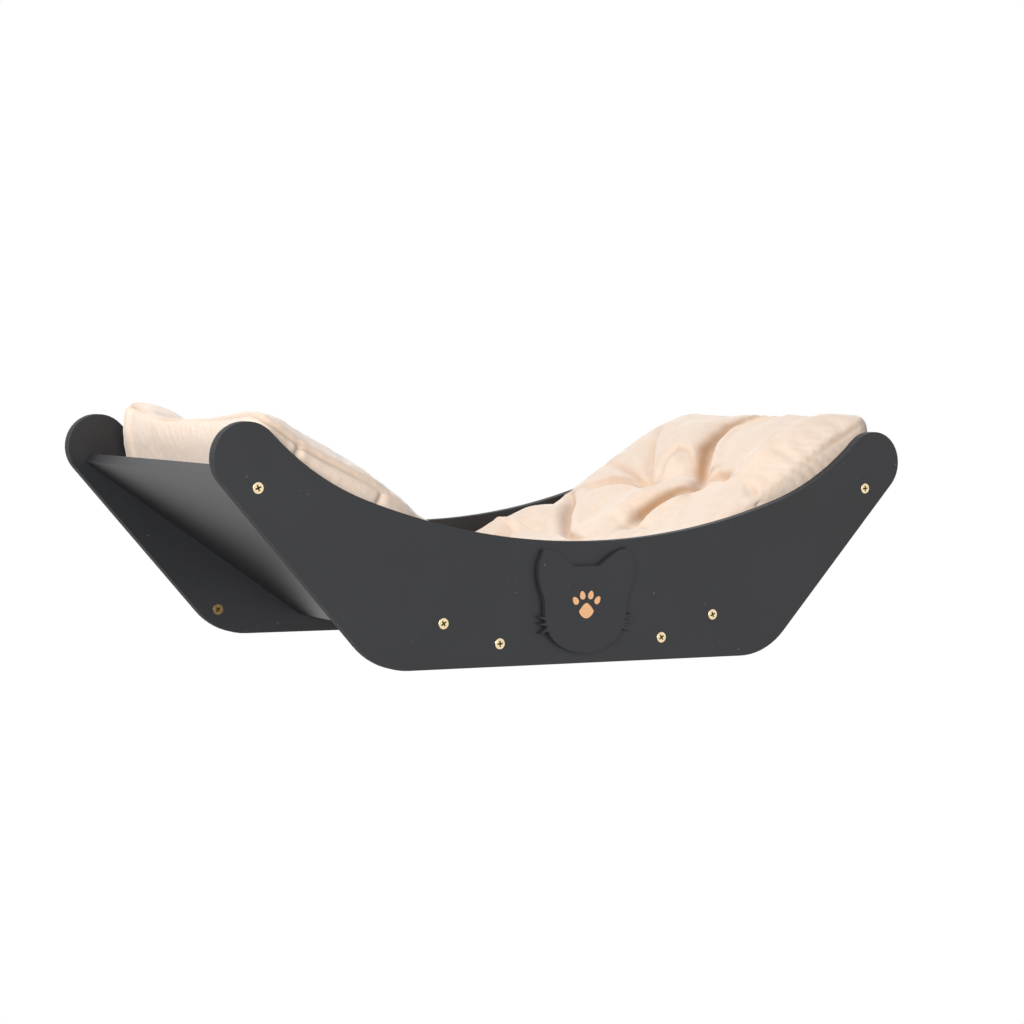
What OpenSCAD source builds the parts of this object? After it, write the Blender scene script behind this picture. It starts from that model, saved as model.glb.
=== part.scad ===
// Wall-mounted cat bed: two shaped side panels carry three boards, and a tufted cushion lies in the nest.
// X runs along the wall, +Y points into the wall and Z is up. The wall face is at Y = 0.
// The origin is the centre of the four wall screws, on the wall face.

/* [Side panels] */
// Length of the bed along the wall
bed_len = 600; // [560:5:680]
// Depth from the wall to the front face of the front panel
bed_depth = 280; // [230:5:360]
// Height of the side panels
panel_h = 175; // [168:1:205]
// Thickness of every board
board_t = 8; // [7:0.5:10]
// Radius of the round horn at each top corner
horn_r = 25; // [22:1:29]
// Radius of each bottom corner
corner_r = 56; // [46:1:66]
// Length of the straight bottom edge between the corners
flat_len = 293.5; // [275:0.5:310]
// Height of the lowest point of the curved rim
rim_low = 90.4; // [85:0.1:98]
// Radius of the middle part of the rim
rim_r = 560; // [500:10:650]
// Half length of the middle part of the rim
rim_half = 182; // [150:1:190]

/* [Boards] */
// Size of the bottom board along the wall
bottom_w = 186; // [166:1:200]
// Height of the bottom board above the bottom edge of the panels
bottom_up = 12.8; // [10:0.1:16]
// Distance that the upper edge of an end board reaches past the centre of the horn
end_out = 6.5; // [3:0.5:8]
// Distance from the centre of the horn down to the upper edge of an end board
end_drop = 5.6; // [4:0.1:12]
// Gap between an end board and the bottom board
butt_gap = 0.4; // [0.3:0.1:0.8]

/* [Assembly screws] */
// Thread diameter of an assembly screw
screw_d = 4; // [3.5:0.1:4.5]
// Diameter of the smooth neck that passes through a panel
screw_neck_d = 2.9; // [2.5:0.1:3.3]
// Length of an assembly screw with its countersunk head
screw_len = 35; // [30:1:45]
// Diameter of the head
screw_head_d = 8; // [7.5:0.1:8.4]
// Height of the countersunk head
screw_head_h = 2.4; // [2.2:0.1:3]
// Distance from the lower edge of an end board to its lower screw
end_screw_low_in = 28; // [20:0.5:35]
// Distance from the upper edge of an end board to its upper screw
end_screw_top_in = 20.5; // [16:0.5:30]
// Distance from each end of the bottom board to its screw
bottom_screw_in = 21.5; // [16:0.5:30]

/* [Wall screws] */
// Thread diameter of a wall screw
wall_screw_d = 4.5; // [4:0.1:5]
// Diameter of the smooth neck that passes through the back panel
wall_neck_d = 3.3; // [2.9:0.1:3.7]
// Length of a wall screw with its countersunk head
wall_screw_len = 50; // [40:1:70]
// Diameter of the head
wall_head_d = 8.5; // [8:0.1:9.5]
// Height of the countersunk head
wall_head_h = 2.6; // [2.3:0.1:3]
// Distance from the centre of a bottom corner out to its wall screws
wall_screw_out = 25; // [18:1:30]
// Height of the lower wall screws above the bottom edge
wall_screw_low = 20; // [17:1:26]
// Height of the upper wall screws above the lower ones
wall_screw_rise = 76; // [72:1:80]

/* [Head plate] */
// Width of the cat head plate at its widest
plate_w = 84; // [60:1:100]
// Height of the plate from the chin to the ear tips
plate_h = 77.5; // [60:0.5:78]
// Thickness of the plate
plate_t = 4; // [3:0.5:6]
// Height of the chin above the bottom edge of the panel
plate_up = 8; // [5:0.5:12]
// Length of a whisker outside the cheek
whisker_len = 6.5; // [4:0.5:12]
// Thickness of a whisker at its root
whisker_root = 2.2; // [1.6:0.1:3]

/* [Cushion] */
// Height of the cushion at its edge seam
border_h = 44; // [36:1:48]
// Extra height of the crown over the edge seam
crown_h = 8; // [6:1:12]
// Distance that the left end of the cushion reaches past its end board
over_left = -2; // [-18:1:8]
// Distance that the right end of the cushion reaches past its end board
over_right = 20; // [6:1:30]
// Distance that the foot of each end stays behind its top edge, which lies on the inside of the bends
end_lean = 27; // [0:1:32]
// Reach of that lean along the cushion
lean_reach = 70; // [50:2:90]
// Radius of the rounded ends of the cushion
end_r = 14; // [10:1:17]
// Distance that the long sides are drawn in at the middle
side_draw = 4; // [2:0.5:7]
// Distance that the ends are drawn in at the middle
end_draw = 7; // [3:0.5:10]
// Depth of a sewn tuft in the crown
tuft_depth = 12; // [8:0.5:15]
// Reach of the hollow round a tuft
tuft_r = 28; // [24:1:36]
// Distance from the lower edge of an end board up to its pair of tufts
tuft_up = 134; // [112:1:156]
// Radius of the cushion's underside where it bends
bend_r = 82; // [78:1:100]
// Extra height where the bend squeezes the cushion
bend_rise = 8; // [4:1:12]
// Reach of that extra height along the cushion
bend_reach = 36; // [30:1:50]
// Height of the fullest place where the filling has gathered
gather_h = 15; // [6:1:16]
// Height of the full corner at the back of the left end
corner_h = 12; // [4:1:14]
// Thickness of the quilted cover
cover_t = 3; // [2.5:0.1:4]

/* [Hidden] */
$fn = 96;

// Colours of the finishes
black_paint = "#37373a";
plate_paint = "#303033";
brass = "#c9a25e";
plush = "#ead3bd";
wadding = "#f4f1ea";

// Clearances, the overrun of a cut and the small sizes of the screws
screw_clear = 0.15;
rest_gap = 0.3;
side_gap = 0.4;
fill_gap = 0.3;
cut = 1;
pilot_extra = 1;
tip_len = 5;
tip_d = 0.8;
recess_w = 1.1;
recess_len = 4.6;
recess_depth = 1.7;

// Outline of a side panel
horn_x = bed_len / 2 - horn_r;
horn_z = panel_h - horn_r;
corner_x = flat_len / 2;
slant_dx = horn_x - corner_x;
slant_dz = horn_z - corner_r;
slant_angle = atan2(slant_dz, slant_dx) + asin((corner_r - horn_r) / norm([slant_dx, slant_dz]));
out_dir = [sin(slant_angle), -cos(slant_angle)];
horn_c = [horn_x, horn_z];
corner_c = [corner_x, corner_r];
rim_dir = [rim_half / rim_r, -sqrt(1 - pow(rim_half / rim_r, 2))];
rim_c = [0, rim_low + rim_r];
rim_join = rim_c + rim_r * rim_dir;
rim_to_horn = rim_join - horn_c;
side_r = (rim_to_horn * rim_to_horn - horn_r * horn_r) / (2 * (horn_r + rim_to_horn * rim_dir));
side_c = rim_join - side_r * rim_dir;
horn_join = side_c + side_r * (horn_c - side_c) / norm(horn_c - side_c);

// Boards between the panels
inner_d = bed_depth - 2 * board_t;
bottom_half = bottom_w / 2;
bottom_top = bottom_up + board_t;
end_foot = [bottom_half + butt_gap, bottom_top];
end_head = [horn_x + end_out, horn_z - end_drop];
end_run = end_head - end_foot;
end_len = norm(end_run);
end_angle = atan2(end_run[1], end_run[0]);
end_dir = end_run / end_len;
end_up = [-end_dir[1], end_dir[0]];

// Wall screw pattern
wall_x = corner_x + wall_screw_out;
wall_z = wall_screw_low + wall_screw_rise / 2;

// Path of the cushion's underside
bend_angle = end_angle;
bend_rad = bend_angle * PI / 180;
path_foot = [end_foot[0] - rest_gap * tan(bend_angle / 2), bottom_top + rest_gap];
path_flat = path_foot[0] - bend_r * tan(bend_angle / 2);
path_bend = path_flat + bend_r * bend_rad;
path_straight = end_len - bend_r * tan(bend_angle / 2);
left_end = path_bend + path_straight + over_left;
right_end = path_bend + path_straight + over_right;
cushion_half = inner_d / 2 - side_gap;
tuft_s = path_bend + tuft_up - bend_r * tan(bend_angle / 2);
tufts = [for (s = [-tuft_s, 0, tuft_s]) for (v = [-1, 1]) [s, v * inner_d / 6]];
top_power = 7;
base_power = 8;
fill_reach_share = 1.45;
fill_gather_share = 0.7;
squeeze_share = 0.7;
// The full corner: along to the left end, across, and reach along and across
corner_shares = [0.97, 0.93, 0.1, 0.27];
squeeze_s = path_flat + squeeze_share * (path_bend - path_flat);
// Where the filling has gathered: along to its end, across, reach along and across, and height
gather_shares = [
    [0.33, 0.80, 0.13, 0.33, 1],
    [-0.35, 0, 0.11, 0.60, 0.55],
    [-0.70, -0.63, 0.28, 0.25, 0.75],
    [-0.94, 0.70, 0.10, 0.27, 0.6],
    [0.53, -0.62, 0.17, 0.24, 0.7],
    [0.86, -0.72, 0.16, 0.23, 0.4]
];

// Left and right copies of a shape drawn on the right
module both_sides() {
    children();
    mirror([1, 0, 0]) children();
}

// Origin on the wall face at the centre of the wall screws
module in_frame() {
    translate([0, 0, -wall_z]) children();
}

// Upright plate from a flat outline, its back face at y
module upright(y, thickness) {
    translate([0, y, 0]) rotate([90, 0, 0]) linear_extrude(height = thickness) children();
}

// Outline of a side panel, with its rim cut by three arcs
module panel_outline() {
    half = [
        [0, 0], [corner_x, 0], corner_c + corner_r * out_dir, horn_c + horn_r * out_dir,
        horn_c, horn_join, rim_join, [0, rim_join[1]]
    ];
    difference() {
        both_sides() {
            polygon(half);
            translate(horn_c) circle(r = horn_r);
            translate(corner_c) circle(r = corner_r);
        }
        intersection() {
            translate(rim_c) circle(r = rim_r, $fn = 360);
            translate([-rim_half, 0]) square([2 * rim_half, panel_h]);
        }
        both_sides() translate(side_c) circle(r = side_r, $fn = 240);
    }
}

// Countersunk screw that points along +Y with its head's face at y = 0: head, smooth neck in the panel, thread, tip
module screw(d, len, head_d, head_h, neck_d) {
    rotate([-90, 0, 0]) difference() {
        union() {
            cylinder(h = head_h, d1 = head_d, d2 = neck_d);
            translate([0, 0, head_h]) cylinder(h = board_t - head_h, d = neck_d);
            translate([0, 0, board_t]) cylinder(h = len - board_t - tip_len, d = d);
            translate([0, 0, len - tip_len]) cylinder(h = tip_len, d1 = d, d2 = tip_d);
        }
        for (turn = [0, 90]) {
            rotate(turn) translate([-recess_len / 2, -recess_w / 2, -cut])
                cube([recess_len, recess_w, recess_depth + cut]);
        }
    }
}

// Clearance hole and countersink for such a screw through a panel
module screw_hole(d, head_d, head_h, thickness) {
    rotate([-90, 0, 0]) {
        translate([0, 0, -cut]) cylinder(h = thickness + 2 * cut, d = d + 2 * screw_clear);
        cylinder(h = head_h, d1 = head_d + 2 * screw_clear, d2 = d + 2 * screw_clear);
        translate([0, 0, -cut]) cylinder(h = cut, d = head_d + 2 * screw_clear);
    }
}

// Pilot hole in the end of a board, open at y = 0
module pilot_hole() {
    rotate([-90, 0, 0]) translate([0, 0, -cut])
        cylinder(h = cut + screw_len - board_t + pilot_extra, d = screw_d + 2 * screw_clear);
}

// Places of the two screws of an end board, on the right, and of the bottom board
function end_screw(along) = end_foot + along * end_dir - board_t / 2 * end_up;
end_screws = [end_screw(end_screw_low_in), end_screw(end_len - end_screw_top_in)];
bottom_screws = [for (side = [-1, 1]) [side * (bottom_half - bottom_screw_in), bottom_up + board_t / 2]];

// Children at each place of a list, at depth y, with the head towards the room or the wall
module at_places(places, y) {
    for (p = places) translate([p[0], y, p[1]]) children();
}
module from_front(places) {
    at_places(places, -bed_depth) children();
}
module from_back(places) {
    at_places(places, 0) rotate(180) children();
}
module assembly_screw() {
    screw(screw_d, screw_len, screw_head_d, screw_head_h, screw_neck_d);
}
module assembly_hole() {
    screw_hole(screw_d, screw_head_d, screw_head_h, board_t);
}
module wall_places(z) {
    both_sides() translate([wall_x, -board_t, z]) children();
}

module front_panel() {
    color(black_paint) in_frame() difference() {
        upright(board_t - bed_depth, board_t) panel_outline();
        both_sides() from_front(end_screws) assembly_hole();
        from_front(bottom_screws) assembly_hole();
    }
}

module back_panel() {
    color(black_paint) in_frame() difference() {
        upright(0, board_t) panel_outline();
        both_sides() from_back(end_screws) assembly_hole();
        from_back(bottom_screws) assembly_hole();
        for (rise = [0, wall_screw_rise]) {
            wall_places(wall_screw_low + rise) screw_hole(wall_screw_d, wall_head_d, wall_head_h, board_t);
        }
    }
}

// Slanted board on the right, square cut at both edges
module end_board() {
    outline = [end_foot, end_head, end_head - board_t * end_up, end_foot - board_t * end_up];
    difference() {
        upright(-board_t, inner_d) polygon(outline);
        at_places(end_screws, board_t - bed_depth) pilot_hole();
        at_places(end_screws, -board_t) rotate(180) pilot_hole();
    }
}

module right_end_board() {
    color(black_paint) in_frame() end_board();
}

module left_end_board() {
    color(black_paint) in_frame() mirror([1, 0, 0]) end_board();
}

module bottom_board() {
    color(black_paint) in_frame() difference() {
        upright(-board_t, inner_d) translate([-bottom_half, bottom_up]) square([bottom_w, board_t]);
        at_places(bottom_screws, board_t - bed_depth) pilot_hole();
        at_places(bottom_screws, -board_t) rotate(180) pilot_hole();
    }
}

// Smooth curve through a list of points
function curve_point(a, b, c, d, t) = (2 * b + t * (c - a) + t * t * (2 * a - 5 * b + 4 * c - d)
    + t * t * t * (3 * b - a - 3 * c + d)) / 2;
function curve(list, steps) = let (last = len(list) - 1) [
    for (k = [0 : last - 1]) for (i = [0 : steps - 1]) curve_point(
        list[max(k - 1, 0)], list[k], list[k + 1], list[min(k + 2, last)], i / steps
    ),
    list[last]
];

// Half of the head as shares of its width and height: jaw, cheek and ear, then the inner edge of the ear
cheek_share = [
    [-0.143, 0.022], [0, 0], [0.143, 0.022], [0.25, 0.068], [0.335, 0.137], [0.395, 0.236],
    [0.423, 0.36], [0.428, 0.462], [0.442, 0.54], [0.476, 0.636], [0.5, 0.754], [0.492, 0.87], [0.443, 1]
];
ear_share = [[0.443, 1], [0.335, 0.97], [0.25, 0.92], [0.185, 0.868], [0.137, 0.831]];
whisker_root_share = [[0.425, 0.34], [0.415, 0.285], [0.4, 0.232]];
whisker_turn = [14, 2, -28];

// Cat's head: round jaw, two pointed ears and three pointed whiskers a side
module head_outline() {
    cheek = [for (p = curve(cheek_share, 4)) if (p[0] >= 0) [p[0] * plate_w, p[1] * plate_h]];
    ear = [for (p = curve(ear_share, 4)) [p[0] * plate_w, p[1] * plate_h]];
    both_sides() {
        polygon(concat(cheek, ear, [[0, ear_share[4][1] * plate_h]]));
        for (i = [0 : 2]) {
            root = whisker_root_share[i];
            translate([root[0] * plate_w, root[1] * plate_h]) rotate(whisker_turn[i]) polygon([
                [-whisker_root, -whisker_root / 2], [0, -whisker_root / 2],
                [whisker_len, 0], [0, whisker_root / 2], [-whisker_root, whisker_root / 2]
            ]);
        }
    }
}

module cat_head_plate() {
    color(plate_paint) in_frame() upright(-bed_depth, plate_t) translate([0, plate_up]) head_outline();
}

module front_screws_left() {
    color(brass) in_frame() mirror([1, 0, 0]) from_front(end_screws) assembly_screw();
}

module front_screws_right() {
    color(brass) in_frame() from_front(end_screws) assembly_screw();
}

module front_screws_bottom() {
    color(brass) in_frame() from_front(bottom_screws) assembly_screw();
}

module back_screws_left() {
    color(brass) in_frame() mirror([1, 0, 0]) from_back(end_screws) assembly_screw();
}

module back_screws_right() {
    color(brass) in_frame() from_back(end_screws) assembly_screw();
}

module back_screws_bottom() {
    color(brass) in_frame() from_back(bottom_screws) assembly_screw();
}

module wall_screw() {
    screw(wall_screw_d, wall_screw_len, wall_head_d, wall_head_h, wall_neck_d);
}

module wall_screws_lower() {
    color(brass) in_frame() wall_places(wall_screw_low) wall_screw();
}

module wall_screws_upper() {
    color(brass) in_frame() wall_places(wall_screw_low + wall_screw_rise) wall_screw();
}

// Point of the cushion's underside at a distance s from the middle, and its slope there
function path_turn(s) = s < path_flat ? 0 : s < path_bend ? (s - path_flat) / bend_r * 180 / PI : bend_angle;
function path_run(s) = let (turn = path_turn(s), past = max(0, s - path_bend)) [
    min(s, path_flat) + bend_r * sin(turn) + past * cos(turn),
    path_foot[1] + bend_r * (1 - cos(turn)) + past * sin(turn)
];

// Point of the cushion: s along the path, v across the depth, n off the underside
function cushion_point(s, v, n) = let (
    side = s < 0 ? -1 : 1,
    turn = path_turn(abs(s)),
    base = path_run(abs(s))
) [side * (base[0] - n * sin(turn)), v - board_t - inner_d / 2, base[1] + n * cos(turn)];

// Hollow that the nearest tuft sews into the crown, wider and deeper under the cover
function hollow(s, v, skin) = let (reach = tuft_r * (skin > 0 ? fill_reach_share : 1)) (tuft_depth + skin) * max([
    for (t = tufts) exp(-(pow(s - t[0], 2) + pow(v - t[1], 2)) / pow(reach, 2))
]);

// Rise of the crown over a bend
function squeeze(s) = bend_rise * exp(-pow((abs(s) - squeeze_s) / bend_reach, 2));

// Rise of the whole edge at the full corner
function corner(s, v) = let (
    along = (s / left_end + corner_shares[0]) / corner_shares[2],
    across = (v / cushion_half - corner_shares[1]) / corner_shares[3]
) corner_h * exp(-along * along - across * across);

// Rise of the crown where the filling has gathered, lower under the cover
function total(list, i = 0) = i < len(list) ? list[i] + total(list, i + 1) : 0;
function gather(s, v, skin) = gather_h * (skin > 0 ? fill_gather_share : 1) * total([
    for (g = gather_shares) let (
        end = g[0] < 0 ? left_end : right_end,
        along = (s - g[0] * end) / (g[2] * end),
        across = (v / cushion_half - g[1]) / g[3]
    ) g[4] * exp(-along * along - across * across)
]);

// One ring of the cushion at a distance s, inset on every side, for a skin inside the cover
function ring(s, inset, skin, top_steps, base_steps) = let (
    end = s < 0 ? left_end : right_end,
    share = abs(s) / end,
    half = cushion_half - side_draw * pow(cos(90 * share), 2) - inset,
    mid = border_h / 2,
    thick = mid - inset
) [
    for (i = [0 : top_steps + base_steps - 1]) let (
        top = i < top_steps,
        turn = top ? 180 * i / top_steps : 180 + 180 * (i - top_steps) / base_steps,
        c = cos(turn),
        power = top ? top_power : base_power,
        v = half * c,
        lift = thick * pow(1 - pow(abs(c), power), 1 / power),
        full = (1 - pow(c, 6)) * (1 - pow(share, 12)),
        crown = full * (crown_h + gather(s, v, skin)) - (1 - c * c) * hollow(s, v, skin),
        n = top ? mid + lift + crown + (squeeze(s) + corner(s, v)) * lift / mid : mid - lift,
        near_end = max(0, 1 - (end - abs(s)) / lean_reach),
        foot = max(0, 1 - n / border_h),
        drawn = s - sign(s) * (end_draw * pow(share, 2) * (1 - c * c) + end_lean * pow(near_end, 2) * foot)
    ) cushion_point(drawn, v, n)
];

// Places of the rings: a rounded end, even steps along the path and the other rounded end
function round_end(end, skin, steps) = [
    for (i = [0 : steps - 1]) let (a = 90 * i / steps)
        [end - skin - end_r * (1 - cos(a)), skin + end_r * (1 - sin(a))]
];
function stations(skin, steps, end_steps) = let (
    from = -(left_end - skin - end_r),
    to = right_end - skin - end_r
) concat(
    [for (p = round_end(left_end, skin, end_steps)) [-p[0], p[1]]],
    [for (i = [0 : steps]) [from + (to - from) * i / steps, skin]],
    let (list = round_end(right_end, skin, end_steps)) [for (i = [len(list) - 1 : -1 : 0]) list[i]]
);

// Closed skin through all the rings
module cushion_form(skin, steps, end_steps, top_steps, base_steps) {
    places = stations(skin, steps, end_steps);
    count = top_steps + base_steps;
    last = len(places) - 1;
    points = [for (p = places) each ring(p[0], p[1], skin, top_steps, base_steps)];
    sides = [
        for (k = [0 : last - 1]) for (i = [0 : count - 1]) let (
            a = k * count + i,
            b = k * count + (i + 1) % count
        ) each [[a, a + count, b], [b, a + count, b + count]]
    ];
    caps = [
        for (i = [1 : count - 2]) each [[0, i, i + 1],
            [last * count, last * count + i + 1, last * count + i]]
    ];
    polyhedron(points = points, faces = concat(sides, caps), convexity = 10);
}

module cushion_cover() {
    color(plush) in_frame() difference() {
        cushion_form(0, 31, 3, 16, 8);
        cushion_form(cover_t, 16, 2, 12, 4);
    }
}

module cushion_filling() {
    color(wadding) in_frame() cushion_form(cover_t + fill_gap, 16, 2, 12, 4);
}

front_panel();
back_panel();
left_end_board();
right_end_board();
bottom_board();
cat_head_plate();
front_screws_left();
front_screws_right();
front_screws_bottom();
back_screws_left();
back_screws_right();
back_screws_bottom();
wall_screws_lower();
wall_screws_upper();
cushion_cover();
cushion_filling();
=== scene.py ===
"""Wall-mounted cat bed: black painted boards, brass screws and a tufted plush cushion."""

import math
import random

import bmesh
import bpy
import numpy as np
from mathutils import Matrix, Vector


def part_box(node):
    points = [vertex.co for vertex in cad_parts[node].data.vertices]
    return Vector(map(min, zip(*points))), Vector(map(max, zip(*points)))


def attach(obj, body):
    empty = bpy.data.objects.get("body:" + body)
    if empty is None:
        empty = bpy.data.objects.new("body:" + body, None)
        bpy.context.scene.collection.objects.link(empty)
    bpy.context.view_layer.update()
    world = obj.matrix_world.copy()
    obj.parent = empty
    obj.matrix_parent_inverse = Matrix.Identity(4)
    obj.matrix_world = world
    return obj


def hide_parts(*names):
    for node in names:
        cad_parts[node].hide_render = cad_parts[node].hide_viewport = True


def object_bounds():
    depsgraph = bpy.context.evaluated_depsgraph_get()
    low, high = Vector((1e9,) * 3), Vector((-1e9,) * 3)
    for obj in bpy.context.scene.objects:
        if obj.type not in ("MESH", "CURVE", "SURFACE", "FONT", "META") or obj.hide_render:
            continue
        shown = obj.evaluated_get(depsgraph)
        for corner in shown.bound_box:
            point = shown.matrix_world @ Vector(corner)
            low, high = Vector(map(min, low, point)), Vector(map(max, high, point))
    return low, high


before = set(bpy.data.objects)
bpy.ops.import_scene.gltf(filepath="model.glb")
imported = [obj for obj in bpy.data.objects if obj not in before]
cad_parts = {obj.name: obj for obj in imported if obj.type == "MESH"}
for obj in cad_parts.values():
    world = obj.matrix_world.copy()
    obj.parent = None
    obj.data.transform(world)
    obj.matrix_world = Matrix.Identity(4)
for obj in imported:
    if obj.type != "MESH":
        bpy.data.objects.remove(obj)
cad_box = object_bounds()
MM = 0.001


# Viewpoint of the photograph: left of the bed and a little above its rim, with a long lens.
# The place is in metres in the bed's frame, and the turns are in radians.
CAMERA_AT = Vector((-0.9406, -1.7086, 0.1359))
CAMERA_YAW = -0.5503
CAMERA_PITCH = -0.0485
CAMERA_ROLL = -0.0241
FOCAL_PIXELS = 2314.0
PHOTO_PIXELS = 1024
SENSOR_WIDTH = 36.0


def new_object(name, data):
    made = bpy.data.objects.new(name, data)
    bpy.context.scene.collection.objects.link(made)
    return made


def place_camera():
    data = bpy.data.cameras.new("photo_camera")
    data.sensor_width = SENSOR_WIDTH
    data.lens = FOCAL_PIXELS * SENSOR_WIDTH / PHOTO_PIXELS
    camera = new_object("photo_camera", data)
    turn = (
        Matrix.Rotation(CAMERA_YAW, 3, "Z")
        @ Matrix.Rotation(CAMERA_PITCH, 3, "X")
        @ Matrix.Rotation(CAMERA_ROLL, 3, "Y")
    )
    looks_down_minus_z = Matrix.Rotation(math.pi / 2, 3, "X")
    camera.matrix_world = Matrix.Translation(CAMERA_AT) @ (turn @ looks_down_minus_z).to_4x4()
    bpy.context.scene.camera = camera


place_camera()


# Pale studio: a white surround, and a white floor far below the bed, which hangs on its wall screws.
# The floor throws light up at the underside. No view shows it, and glossy rays see both as plain white.
FLOOR_DROP = 0.45
FLOOR_HALF = 6.0
AMBIENT = 0.04
LAMP_AIM = Vector((0, -0.15, 0))
SOFTBOX_HEIGHT = 1.0


def colour(code):
    """Linear colour of an sRGB hex code."""
    parts = [int(code[i : i + 2], 16) / 255 for i in (1, 3, 5)]
    linear = [c / 12.92 if c <= 0.04045 else ((c + 0.055) / 1.055) ** 2.4 for c in parts]
    return (*linear, 1.0)


def add(tree, kind, links=(), at=(), **settings):
    """Adds a node. links gives inputs an output socket, and at gives inputs a value, by name or number.

    settings are the node's own properties, or the values of the inputs that bear their names."""
    made = tree.nodes.new(kind)
    for name, value in settings.items():
        label = name.replace("_", " ").title()
        if hasattr(made, name):
            setattr(made, name, value)
        elif label in made.inputs:
            made.inputs[label].default_value = value
        else:
            made.inputs[name.replace("_", " ")].default_value = value
    for name, value in at:
        made.inputs[name].default_value = value
    for name, source in links:
        tree.links.new(source, made.inputs[name])
    return made


def new_material(name):
    made = bpy.data.materials.new(name)
    made.use_nodes = True
    made.node_tree.nodes.clear()
    return made, made.node_tree


def white_to_camera(tree, shader):
    """Mixes a shader with plain white for camera, glossy and transmission rays."""
    path = add(tree, "ShaderNodeLightPath")
    seen = path.outputs["Is Camera Ray"]
    for ray in ("Is Glossy Ray", "Is Transmission Ray"):
        either = add(tree, "ShaderNodeMath", [(0, seen), (1, path.outputs[ray])], operation="MAXIMUM")
        seen = either.outputs[0]
    kind = "ShaderNodeBackground" if shader.type == "BACKGROUND" else "ShaderNodeEmission"
    white = add(tree, kind, Color=(1, 1, 1, 1), Strength=1.0)
    return add(tree, "ShaderNodeMixShader", [(0, seen), (1, shader.outputs[0]), (2, white.outputs[0])])


def make_floor():
    """Floor in matt white paint: bright and even, and hidden from the camera itself."""
    material, tree = new_material("white_floor")
    paint = add(tree, "ShaderNodeBsdfDiffuse", Color=colour("#f4f4f4"))
    mixed = white_to_camera(tree, paint)
    add(tree, "ShaderNodeOutputMaterial", [("Surface", mixed.outputs[0])])
    low = cad_box[0][2] - FLOOR_DROP
    h = FLOOR_HALF
    mesh = bpy.data.meshes.new("floor")
    mesh.from_pydata([(-h, -h, low), (h, -h, low), (h, h, low), (-h, h, low)], [], [(0, 1, 2, 3)])
    mesh.materials.append(material)
    floor = new_object("floor", mesh)
    floor.visible_camera = False


def make_world(strength):
    world = bpy.data.worlds.new("studio")
    world.use_nodes = True
    world.node_tree.nodes.clear()
    tree = world.node_tree
    ambient = add(tree, "ShaderNodeBackground", Color=(1, 1, 1, 1), Strength=strength)
    mixed = white_to_camera(tree, ambient)
    add(tree, "ShaderNodeOutputWorld", [("Surface", mixed.outputs[0])])
    bpy.context.scene.world = world


def softbox(name, place, width, power):
    """Area lamp that points at the middle of the bed. Its power is in watts."""
    data = bpy.data.lights.new(name, "AREA")
    data.shape = "RECTANGLE"
    data.size = width
    data.size_y = SOFTBOX_HEIGHT
    data.energy = power
    lamp = new_object(name, data)
    lamp.location = place
    lamp.rotation_euler = (LAMP_AIM - Vector(place)).to_track_quat("-Z", "Y").to_euler()


make_floor()
make_world(AMBIENT)
softbox("softbox_front_left", place=(-1.4, -1.5, 0.6), width=1.0, power=41)
softbox("softbox_left_back", place=(-1.4, 0.6, 1.1), width=1.0, power=11)
softbox("softbox_back", place=(0, 0.5, 1.4), width=1.6, power=8)
softbox("softbox_right_back", place=(1.2, 0.6, 1.1), width=1.0, power=9)
bpy.context.scene.view_settings.view_transform = "Standard"


# Boards: 8 mm fibreboard, cut and its edges broken by sanding, then rolled with matte black paint.
# The roller leaves a fine low stipple, and a little pale dust clings to the faces. Screws join the boards.
EDGE_BREAK = 0.9 * MM
EDGE_ANGLE = math.radians(35)
FLAT_WITHIN = math.radians(0.3)
WELD_REACH = 0.005 * MM

# real stipple and dust are finer, and are drawn this coarse to show
STIPPLE = 1.1 * MM
STIPPLE_DEPTH = 0.12 * MM
STIPPLE_STRENGTH = 0.35
PATCHES_PER_METRE = 14
PATCH_LEVELS = (0.3, 0.7)
PATCH_TONES = (0.86, 1.12)
DUST_SPACING = 3 * MM
DUST_LEVELS = (0.765, 0.82)
DUST_COLOUR = "#8b8b8a"
PAINT_ROUGHNESS = 0.42
PAINT_GLOSS = 0.52
SAWN_ROUGHNESS = 0.8
SAWN_FACING = (0.5, 0.9)
BOARD_NODES = ("front_panel", "back_panel", "left_end_board", "right_end_board", "bottom_board")


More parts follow.
